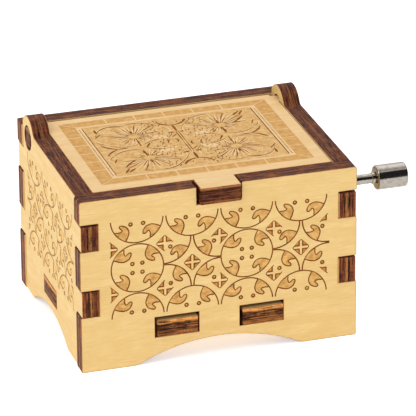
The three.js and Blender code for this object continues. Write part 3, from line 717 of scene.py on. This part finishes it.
# ---- Lid ornament: a border of blocks round two flowers and a stem; it looks the same turned round ----
LID_MIDDLE = 32.15 + 26.1j
BORDER = {"left": 7.3, "right": 56.9, "front": 7.8, "back": 44.2}
BORDER_SIDE = 3.3  # width of the blocks at the left and right
BORDER_END = 2.7  # and at the front and back
BLOCK_GAP = 0.34
CUTS_ACROSS = (0.22, 0.36, 0.5, 0.64, 0.78)  # between blocks, as shares of the side they are on
CUTS_ALONG = (0.225, 0.36, 0.495, 0.63, 0.765)
WASH_MARGIN = 1.2 + 0.9j  # from the border to the darkened field
RULE_IN = 1.3  # from the border to the line down each side of the field
RULE_FRONT = 1.6
RULE_BACK = 1.2
RULE_WIDTH = 0.24
BEADS_IN = 0.55  # from the border to the row of beads beside that line
BEADS_SHORT = 2.6  # how much shorter than the field the row is
BEAD_PITCH = 0.72
BEAD_R = 0.2
GOLDEN_ANGLE = 2.39996

# The left side of the ornament, as offsets from the middle of the lid.
UPPER_FLOWER = -10.2 + 6.2j
LOWER_FLOWER = -10.4 - 6.6j

# Pale leaves below the flowers: start, end, width as a share of the length.
PALE_LEAVES = [(-2.6 + 2.2j, -7 + 5.4j, 0.24), (-2.6 - 2.4j, -7.2 - 4.2j, 0.24)]

# Rays of the flowers: centre, first and last angle in degrees, count, reach.
RAYS = [(UPPER_FLOWER, 12, 168, 31, 8.2), (UPPER_FLOWER, 190, 350, 25, 5.4),
        (LOWER_FLOWER, 14, 160, 23, 5.2), (LOWER_FLOWER, 186, 354, 33, 8.4)]

# The kinds and widths of the rays in turn.
RAY_KINDS = [("line", 0.28), ("surface", 0.38), ("fill", 0.3), ("surface", 0.3), ("line", 0.2),
             ("surface", 0.3)]

# Ovals of short ticks: centre, reach in u and v, count, kind.
SPECKLES = [(-5.4 + 4.4j, 3.4, 4.6, 26, "line"), (-5.2 - 4.2j, 3.4, 4.4, 26, "line"),
            (-15.8 + 4.4j, 2.8, 3.6, 18, "fill"), (-14.8 - 2.6j, 3.6, 2.2, 18, "fill"),
            (-4.4 + 11.4j, 3.6, 1.6, 16, "line"), (-4.8 - 11.8j, 3.4, 1.6, 16, "line"),
            (-12.6 + 0.8j, 4.4, 1.6, 18, "surface"), (-16.4 + 10.8j, 2.8, 2.4, 16, "surface"),
            (-3.2 + 0.4j, 2.4, 3.4, 18, "fill")]

# Outlines of the petals: start, end, bulge. Each has a pale line beside it.
PETAL_LINES = [(-18.6 + 8.6j, -11.4 + 13.2j, 0.24), (-10.6 + 13.2j, -3.4 + 10.6j, 0.2),
               (-2.6 + 9.6j, -2.8 + 3.4j, 0.22), (-19 + 7.4j, -17.4 + 3.2j, -0.2),
               (-17.2 + 2.6j, -10.8 + 1.2j, -0.14), (-9.4 + 1j, -3 + 2.4j, 0.16),
               (-9.2 - 0.6j, -3.2 - 2.4j, -0.16), (-2.8 - 3.6j, -3 - 10.2j, 0.2),
               (-3.8 - 10.8j, -11 - 13.4j, 0.2), (-17.4 - 3j, -11 - 1.4j, 0.14),
               (-19.2 - 7.6j, -17.8 - 3.6j, 0.18)]
PALE_ASIDE = 0.4j

# Dark cuts: start, end, width, bulge.
AXIS_CUTS = [(UPPER_FLOWER + 3.2j, UPPER_FLOWER + 1.7j, 0.5, 0),
             (LOWER_FLOWER - 1j, LOWER_FLOWER - 2.9j, 0.46, 0),
             (UPPER_FLOWER - 1.6j, UPPER_FLOWER - 6j, 0.34, 0),
             (LOWER_FLOWER + 4.8j, LOWER_FLOWER + 1j, 0.34, 0)]
CORNER_CUTS = [(-9.2 - 0.8j, -7.8 + 1.6j, 0.4, 0), (-3.6 + 2.4j, -3.9, 0.36, 0.1),
               (-17.9 + 12.6j, -18 + 10.4j, 0.5, 0), (-17.2 + 9.8j, -19 + 7.6j, 0.3, 0),
               (-16.9 - 10.4j, -13.4 - 6.8j, 0.42, 0.05), (-17.8 - 13.4j, -16.4 - 11.2j, 0.44, 0),
               (-16.9 - 13.2j, -15 - 11.4j, 0.5, 0), (-13.4 - 13j, -11.6 - 13.8j, 0.3, 0),
               (-18.6 - 7.4j, -17.6 - 5.2j, 0.3, 0), (-14.4 + 13.2j, -10.8 + 12.6j, 0.26, 0)]

# The cleft of the leaf at the left, two arms and a stem that meet at its tip.
LEAF_TIP_AT = -15.8 + 0.1j
LEAF_CLEFT = [(LEAF_TIP_AT, LEAF_TIP_AT + (-3.1 + 3.1j), 0.46, 0.08),
              (LEAF_TIP_AT, LEAF_TIP_AT - (3.1 + 3.1j), 0.42, -0.08),
              (LEAF_TIP_AT, LEAF_TIP_AT + (2.5 + 0.2j), 0.4, 0)]

# Half of the stem down the middle, with the branch at its end and the leaves across it.
STEM_CUTS = [(10.2j, 6.4j, 0.56, 0), (-0.28 + 6.2j, -0.28, 0.22, 0), (0.3 + 6.2j, 0.3, 0.22, 0),
             (10j, -3.1 + 12.5j, 0.46, 0.14), (10j, 3.9 + 12.7j, 0.5, -0.14),
             (-2.2 + 6j, -0.7 + 5.8j, 0.5, 0), (0.7 + 5.8j, 2.3 + 6.2j, 0.56, 0),
             (-1.6 + 2.2j, -1.7 + 0.1j, 0.36, 0.2), (-0.5 + 4.8j, -2 + 3.2j, 0.3, 0)]


def border_blocks():
    """Blocks along the four sides; those at the corners end in a mitre."""
    left, right, front, back = (BORDER[side] for side in ("left", "right", "front", "back"))
    marks = []

    def row(start, end, shares, slope, place):
        """place(along, inner) is a point at the border's outer side, or its inner side if inner is 1."""
        stops = [start, *(start + (end - start) * share for share in shares), end]
        for i, (a, b) in enumerate(zip(stops, stops[1:])):
            outer_from = a + BLOCK_GAP / 2
            outer_to = b - BLOCK_GAP / 2
            inner_from = outer_from + (slope if i == 0 else 0)
            inner_to = outer_to - (slope if i == len(shares) else 0)
            marks.append(("fill", [place(outer_from, 0), place(outer_to, 0),
                                   place(inner_to, 1), place(inner_from, 1)]))

    for side, width in ((front, BORDER_END), (back, -BORDER_END)):
        row(left, right, CUTS_ACROSS, BORDER_SIDE, lambda u, inner: complex(u, side + inner * width))
    for side, width in ((left, BORDER_SIDE), (right, -BORDER_SIDE)):
        row(front, back, CUTS_ALONG, BORDER_END, lambda v, inner: complex(side + inner * width, v))
    return marks


def curve_between(start, end, bulge):
    """Points from start to end, bowed to the left by bulge times the distance."""
    sideways = 1j * (end - start) * bulge
    steps = 6
    return [start + (end - start) * t + sideways * 4 * t * (1 - t)
            for t in (i / steps for i in range(steps + 1))]


def pale_leaf(start, end, width):
    start += LID_MIDDLE
    end += LID_MIDDLE
    return [("surface", curve_between(start, end, width) + curve_between(end, start, width)[1:-1])]


def dash(start, end, width, bulge, kind="line"):
    """A cut that swells in the middle, from one offset of the lid's middle to another."""
    return [(kind, stroke(curve_between(LID_MIDDLE + start, LID_MIDDLE + end, bulge), width * 1.2, 0.35))]


def flower(centre, first, last, count, reach):
    """Ragged rays round a centre: dark cuts, paler wood and light cuts in turn."""
    marks = []
    for i in range(count):
        angle = math.radians(first + (last - first) * i / (count - 1))
        ray = complex(math.cos(angle), 0.92 * math.sin(angle))
        kind, width = RAY_KINDS[i % len(RAY_KINDS)]
        start = centre + ray * (1.3 + 0.7 * (i % 2))
        end = centre + ray * reach * (0.78 + 0.22 * math.sin(2.3 * i))
        marks += dash(start, end, width, 0.03, kind)
    return marks


def speckle(centre, reach_u, reach_v, count, kind):
    """Short ticks spread over an oval by the golden angle."""
    marks = []
    for i in range(count):
        turn = cmath.rect(math.sqrt((i + 0.5) / count), i * GOLDEN_ANGLE)
        at = centre + complex(turn.real * reach_u, turn.imag * reach_v)
        tick = cmath.rect(0.6 + 0.2 * (i % 4), 0.9 + 0.4 * (i % 3))
        marks += dash(at, at + tick, 0.2, 0, kind)
    return marks


def left_half():
    marks = []
    for row in PALE_LEAVES:
        marks += pale_leaf(*row)
    for row in RAYS:
        marks += flower(*row)
    for row in SPECKLES:
        marks += speckle(*row)
    for start, end, bulge in PETAL_LINES:
        marks += dash(start, end, 0.24, bulge)
        marks += dash(start + PALE_ASIDE, end + PALE_ASIDE, 0.3, bulge, "surface")
    for cut in AXIS_CUTS + CORNER_CUTS + LEAF_CLEFT + STEM_CUTS:
        marks += dash(*cut)
    return marks


def turned_round(marks):
    """The marks turned half round about the lid's middle."""
    return [(kind, [2 * LID_MIDDLE - point for point in loop]) for kind, loop in marks]


def lid_ornament():
    left = BORDER["left"] + BORDER_SIDE
    right = BORDER["right"] - BORDER_SIDE
    front = BORDER["front"] + BORDER_END
    back = BORDER["back"] - BORDER_END
    marks = border_blocks()
    low = complex(left, front) + WASH_MARGIN
    high = complex(right, back) - WASH_MARGIN
    marks.append(("wash", [low, complex(high.real, low.imag), high, complex(low.real, high.imag)]))
    half = left_half()
    marks += half + turned_round(half)
    for rule_u, beads_u in ((left + RULE_IN, left + BEADS_IN), (right - RULE_IN, right - BEADS_IN)):
        rule = [complex(rule_u, front + RULE_FRONT), complex(rule_u, back - RULE_BACK)]
        marks.append(("line", stroke(rule, RULE_WIDTH)))
        for i in range(round((back - front - BEADS_SHORT) / BEAD_PITCH)):
            bead = complex(beads_u, front + RULE_FRONT + BEAD_PITCH * i)
            marks.append(("line", disc(bead, BEAD_R, 6)))
    return marks


# ======== Turned and bent metal ========


def finish_metal(bm, name, material, body, node):
    bmesh.ops.recalc_face_normals(bm, faces=bm.faces)
    make_piece(bm, name, [material], 32, body, node)


def circle(bm, centre, side, third, radius, count):
    """Vertices round a centre, from the direction side towards the direction third."""
    angles = [2 * math.pi * i / count for i in range(count)]
    return [bm.verts.new(centre + (side * math.cos(a) + third * math.sin(a)) * radius) for a in angles]


def join_rings(bm, lower, upper):
    for (a, b), (c, d) in zip(pairs(lower), pairs(upper)):
        bm.faces.new((a, b, d, c))


def tube(bm, stations, sides=32):
    """A round skin through (centre, direction, radius), closed at both ends."""
    rings = []
    side = stations[0][1].orthogonal()
    for centre, direction, radius in stations:
        side = (side - direction * side.dot(direction)).normalized()
        rings.append(circle(bm, centre, side, direction.cross(side), radius, sides))
    for lower, upper in zip(rings, rings[1:]):
        join_rings(bm, lower, upper)
    bm.faces.new(rings[0][::-1])
    bm.faces.new(rings[-1])


# Crank sizes, in millimetres
ROD_R = 1.2
BEND_R = 2.4
BEND_STEPS = 14
ARM_BEFORE_KNOB = 7.2  # from the arm's plane to the knob's inner end
SWAGE = [(-3.4, 0), (-3.1, -0.09), (-2.8, 0), (-2.3, -0.07), (-2, 0.02), (-1.5, -0.05), (-0.95, 0),
         (-0.85, 0.14), (-0.2, 0.16), (-0.15, 0)]  # place from the knob's inner end, added radius
RIVET_R = 1.9
RIVET_HEIGHT = 0.7
RIVET_SKIN = [(-0.01, ROD_R), (0, RIVET_R), (0.3, RIVET_R), (0.55, RIVET_R * 0.8)]  # its top follows
KNOB_CHAMFER = 0.45
KNOB_BORE_R = 1.26
BORE_EASE = 0.12
RECESS_R = 2.1
RECESS_DEPTH = 1.15
RECESS_EASE = 0.1


def build_crank():
    """The bent rod: shaft, arm and handle pin in one piece, with a swelling and a riveted end."""
    rod_low, rod_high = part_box("crank_rod")
    worm_middle = middle_of("worm")
    knob_middle = middle_of("crank_knob")
    arm_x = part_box("crank_knob")[0].x - ARM_BEFORE_KNOB * MM
    foot = Vector((arm_x, worm_middle.y, worm_middle.z))
    head = Vector((arm_x, knob_middle.y, knob_middle.z))
    armward = (head - foot).normalized()
    radius = ROD_R * MM

    def bend(corner, a, b):
        """The round between the direction a into a corner and the direction b out of it."""
        reach = BEND_R * MM
        centre = corner - a * reach + b * reach
        for i in range(BEND_STEPS + 1):
            angle = math.radians(90 * i / BEND_STEPS)
            point = centre - b * reach * math.cos(angle) + a * reach * math.sin(angle)
            yield point, a * math.cos(angle) + b * math.sin(angle), radius

    start = Vector((rod_low.x, foot.y, foot.z))
    stations = [(start, X, radius * 0.8), (start + X * 0.25 * MM, X, radius)]
    stations += bend(foot, X, armward)
    stations += bend(head, armward, X)
    for along, swell in SWAGE:
        stations.append((head + X * (ARM_BEFORE_KNOB + along) * MM, X, radius + swell * MM))
    rivet_from = rod_high.x - RIVET_HEIGHT * MM
    rivet = [(rivet_from + along * MM, around) for along, around in RIVET_SKIN]
    for x, around in [*rivet, (rod_high.x, RIVET_R * 0.4)]:
        stations.append((Vector((x, head.y, head.z)), X, around * MM))
    bm = bmesh.new()
    tube(bm, stations)
    finish_metal(bm, "crank_rod_plated", NICKEL, "crank", "crank_rod")


def lathe(bm, profile, centre, axis, sides=72):
    """Turns a closed profile of (along, radius), in millimetres, about an axis."""
    side = axis.orthogonal().normalized()
    third = axis.cross(side)
    rings = [circle(bm, centre + axis * along * MM, side, third, radius * MM, sides)
             for along, radius in profile]
    for lower, upper in pairs(rings):
        join_rings(bm, lower, upper)


def build_knob():
    """The turned handle: bored right through, with rounded rims and a recess round the rivet."""
    low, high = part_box("crank_knob")
    end = middle_of("crank_knob")
    end.x = low.x
    length = (high.x - low.x) / MM
    radius = (high.z - low.z) / MM / 2
    rim = KNOB_CHAMFER

    def rounded(at_x, start, end, steps):
        arc = ellipse_part(complex(at_x, radius - rim), rim, rim, start, end, steps)
        return [(point.real, point.imag) for point in arc]

    profile = [(BORE_EASE, KNOB_BORE_R), (0.0, KNOB_BORE_R + BORE_EASE), (0.0, radius - rim)]
    profile += rounded(rim, 165, 95, 4)
    profile += [(rim + 0.05, radius), (length - rim, radius)]
    profile += rounded(length - rim, 85, 5, 5)
    profile += [(length, RECESS_R + RECESS_EASE), (length - RECESS_EASE, RECESS_R),
                (length - RECESS_DEPTH, RECESS_R), (length - RECESS_DEPTH, KNOB_BORE_R)]
    bm = bmesh.new()
    lathe(bm, profile, end, X)
    finish_metal(bm, "knob_turned", NICKEL, "knob", "crank_knob")


# ======== The movement ========

# Cylinder sizes, in millimetres
DRUM_R = 6.5
DRUM_RIM = 0.7
DRUM_RECESS = 1.4
DRUM_HUB_R = 2.8
DRUM_BORE_R = 1.22
DRUM_EASE = 0.15
NOTES = 18
PIN_COUNT = 3 * NOTES
PIN_STEP = 0.381966  # of a turn from each pin to the next
TRACK_STEP = 5  # tracks from each pin to the next
PIN_ROOT_R = 6.3
PIN_R = 0.22
PIN_TIP_R = 7.28


def build_cylinder():
    """The brass drum with its pins, one row of pins to each tooth of the comb."""
    low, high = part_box("cylinder")
    comb_low, comb_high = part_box("comb")
    end = middle_of("arbor")
    end.y = low.y
    length = (high.y - low.y) / MM
    inner = DRUM_R - DRUM_RIM
    front = [(0, DRUM_BORE_R), (0, DRUM_HUB_R), (DRUM_RECESS, DRUM_HUB_R), (DRUM_RECESS, inner),
             (0, inner), (0, DRUM_R - DRUM_EASE), (DRUM_EASE, DRUM_R)]
    profile = front + [(length - along, radius) for along, radius in front[::-1]]
    bm = bmesh.new()
    lathe(bm, profile, end, Y, sides=96)
    for i in range(PIN_COUNT):
        turn = 2 * math.pi * PIN_STEP * i
        track = TRACK_STEP * i % NOTES
        outward = Vector((math.sin(turn), 0, math.cos(turn)))
        at_y = comb_low.y + (comb_high.y - comb_low.y) * (track + 0.5) / NOTES
        foot = Vector((end.x, at_y, end.z))
        skin = ((PIN_ROOT_R, PIN_R), (PIN_TIP_R - 0.15, PIN_R), (PIN_TIP_R, PIN_R * 0.6))
        stations = [(foot + outward * height * MM, outward, radius * MM) for height, radius in skin]
        tube(bm, stations, sides=8)
    finish_metal(bm, "drum_pinned", BRASS, "cylinder", "cylinder")


MOVEMENT_EASE = 0.06
MOVEMENT_LOOKS = {"steel": STEEL, "zinc_casting": ZINC, "brass": BRASS, "lead": LEAD,
                  "nickel_plate": NICKEL}


def finish_movement():
    """The CAD nodes that stay in view take a worked material and eased edges."""
    for name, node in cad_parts.items():
        if node.hide_render:
            continue
        for slot in node.material_slots:
            slot.material = MOVEMENT_LOOKS[slot.material.name]
        bevel = node.modifiers.new("eased_edges", "BEVEL")
        bevel.width = MOVEMENT_EASE * MM
        bevel.segments = 2
        bevel.limit_method = "ANGLE"
        bevel.angle_limit = math.radians(35)


# ======== Stage ========

CAMERA_FROM_CASE = Vector((-0.246197, -0.807257, 0.397010))  # from the middle of its footprint
CAMERA_TURN = 17.315  # degrees from +Y towards +X
CAMERA_DIP = 23.793
CAMERA_ROLL = -0.417
CAMERA_LENS = 349.84
WHITE = (255, 255, 255)
FLOOR_HALF = 6  # metres
FLOOR_GLOW = 0.5
FLOOR_DROP = 0.02  # millimetres
KEY_PLACE = Vector((-1, -0.42, 1.28))
KEY_AIM = Vector((0, 0, 0.02))
KEY_SIZE = 0.9
KEY_POWER = 6.7
ROOM_LIGHT = 0.84
BACKDROP_LIGHT = 1.1

# What shining metal sees, from the side away from LAMP_SIDE to LAMP_SIDE itself: (place, brightness)
LAMP_SIDE = (0, 0.6, 0.8)
SHINY_ROOM = [(0, 0.03), (0.725, 0.02), (0.75, 1.5), (0.79, 0.72), (0.9, 0.85), (0.96, 1.9), (1, 1.9)]


def set_camera():
    data = bpy.data.cameras.new("camera")
    data.lens = CAMERA_LENS
    data.sensor_width = 36
    data.clip_start = 0.05
    data.clip_end = 50
    turn, dip, roll = (math.radians(angle) for angle in (CAMERA_TURN, CAMERA_DIP, CAMERA_ROLL))
    forward = Vector((math.sin(turn) * math.cos(dip), math.cos(turn) * math.cos(dip), -math.sin(dip)))
    level = Vector((math.cos(turn), -math.sin(turn), 0))
    right = level * math.cos(roll) + level.cross(forward) * math.sin(roll)
    up = right.cross(forward)
    middle = (CASE_LOW + CASE_HIGH) / 2
    rotation = Matrix((right, up, -forward)).transposed().to_4x4()
    camera = add_object("camera", data)
    camera.matrix_world = Matrix.Translation(middle + CAMERA_FROM_CASE) @ rotation
    bpy.context.scene.camera = camera


def set_floor():
    """A pale floor that glows a little, so that it is as white as the backdrop."""
    bm = bmesh.new()
    bmesh.ops.create_grid(bm, x_segments=4, y_segments=4, size=FLOOR_HALF)
    look = Look("pale_floor", Roughness=0.9, Specular_IOR_Level=0.1)
    tint = look.noise(look.place(), (0.004, 0.004, 0.004), detail=2)
    look.set("Base Color", look.ramp(tint, [(0.3, 0.93), (0.7, 0.96)]))
    look.set("Emission Color", WHITE)
    look.set("Emission Strength", FLOOR_GLOW)
    floor = add_object("floor", mesh_from(bm, "floor", [look.material]))
    floor.location.z = -FLOOR_DROP * MM


def set_key_light():
    data = bpy.data.lights.new("key_light", "AREA")
    data.shape = "DISK"
    data.size = KEY_SIZE
    data.energy = KEY_POWER
    light = add_object("key_light", data)
    light.location = KEY_PLACE
    light.rotation_mode = "QUATERNION"
    light.rotation_quaternion = (KEY_AIM - KEY_PLACE).to_track_quat("-Z", "Y")


def set_world():
    """An even white studio and a brighter backdrop. What shines sees a darker room with lamps."""
    world = bpy.data.worlds.new("studio")
    bpy.context.scene.world = world
    world.use_nodes = True
    world.node_tree.nodes.clear()
    nodes = Nodes(world.node_tree)
    direction = nodes.node("TexCoord", {}).outputs["Generated"]
    tilt = nodes.node("VectorMath", {0: direction, 1: LAMP_SIDE}, operation="DOT_PRODUCT").outputs["Value"]
    room = nodes.ramp(nodes.math("MULTIPLY_ADD", tilt, 0.5, 0.5), SHINY_ROOM)
    path = nodes.node("LightPath", {})
    seen = path.outputs["Is Camera Ray"]
    strength = nodes.math("MULTIPLY_ADD", seen, BACKDROP_LIGHT - ROOM_LIGHT, ROOM_LIGHT)
    plain = nodes.node("Background", {"Color": WHITE, "Strength": strength}).outputs[0]
    shiny = nodes.node("Background", {"Color": room}).outputs[0]
    light = nodes.node("MixShader", {"Fac": path.outputs["Is Glossy Ray"], 1: plain, 2: shiny}).outputs[0]
    nodes.node("OutputWorld", {"Surface": light})


# ======== Building ========

CASE_WOODS = [CASE_WOOD, CASE_DEEP, CASE_FILL, CASE_LINE, CASE_EDGE]
SIDE_WOODS = [CASE_WOOD, SIDE_FILL, SIDE_FILL, SIDE_LINE, CASE_EDGE]
BASE_WOODS = [CASE_WOOD, CASE_DEEP, CASE_FILL, CASE_LINE, TAB_EDGE_PAINTED_LIGHT]
LID_WOODS = [LID_WOOD, LID_WASH, LID_FILL, LID_LINE, LID_EDGE]


def build_case():
    width = (CASE_HIGH.x - CASE_LOW.x) / MM
    depth = (CASE_HIGH.y - CASE_LOW.y) / MM
    front_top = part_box("front_panel")[1].z / MM
    front_marks = pinwheel_lattice(width / 2, 4, first_is_full=True)
    side_marks = pinwheel_lattice(depth / 2 + 0.2, 3, first_is_full=False)

    def worn(corner):
        at_end = min(corner.real, width - corner.real) < 1
        return WORN_EASE if at_end and corner.imag > front_top - 1 else CORNER_EASE

    build_panel("front_sheet", Sheet("front_panel", X, Z, 0), CASE_WOODS, front_marks, radius_at=worn)
    build_panel("back_sheet", Sheet("back_panel", -X, Z, 140), CASE_WOODS, front_marks)
    build_panel("left_sheet", Sheet("left_panel", -Y, Z, 310), SIDE_WOODS, side_marks)
    build_panel("right_sheet", Sheet("right_panel", Y, Z, 470), SIDE_WOODS, side_marks)
    build_panel("base_sheet", Sheet("base_panel", X, Y, 620), BASE_WOODS)
    build_panel("lid_sheet", Sheet("lid", X, Y, 790), LID_WOODS, lid_ornament(), body="lid")


build_case()
build_crank()
build_knob()
build_cylinder()
finish_movement()
set_camera()
set_floor()
set_world()
set_key_light()

bpy.context.scene.view_settings.view_transform = "Standard"
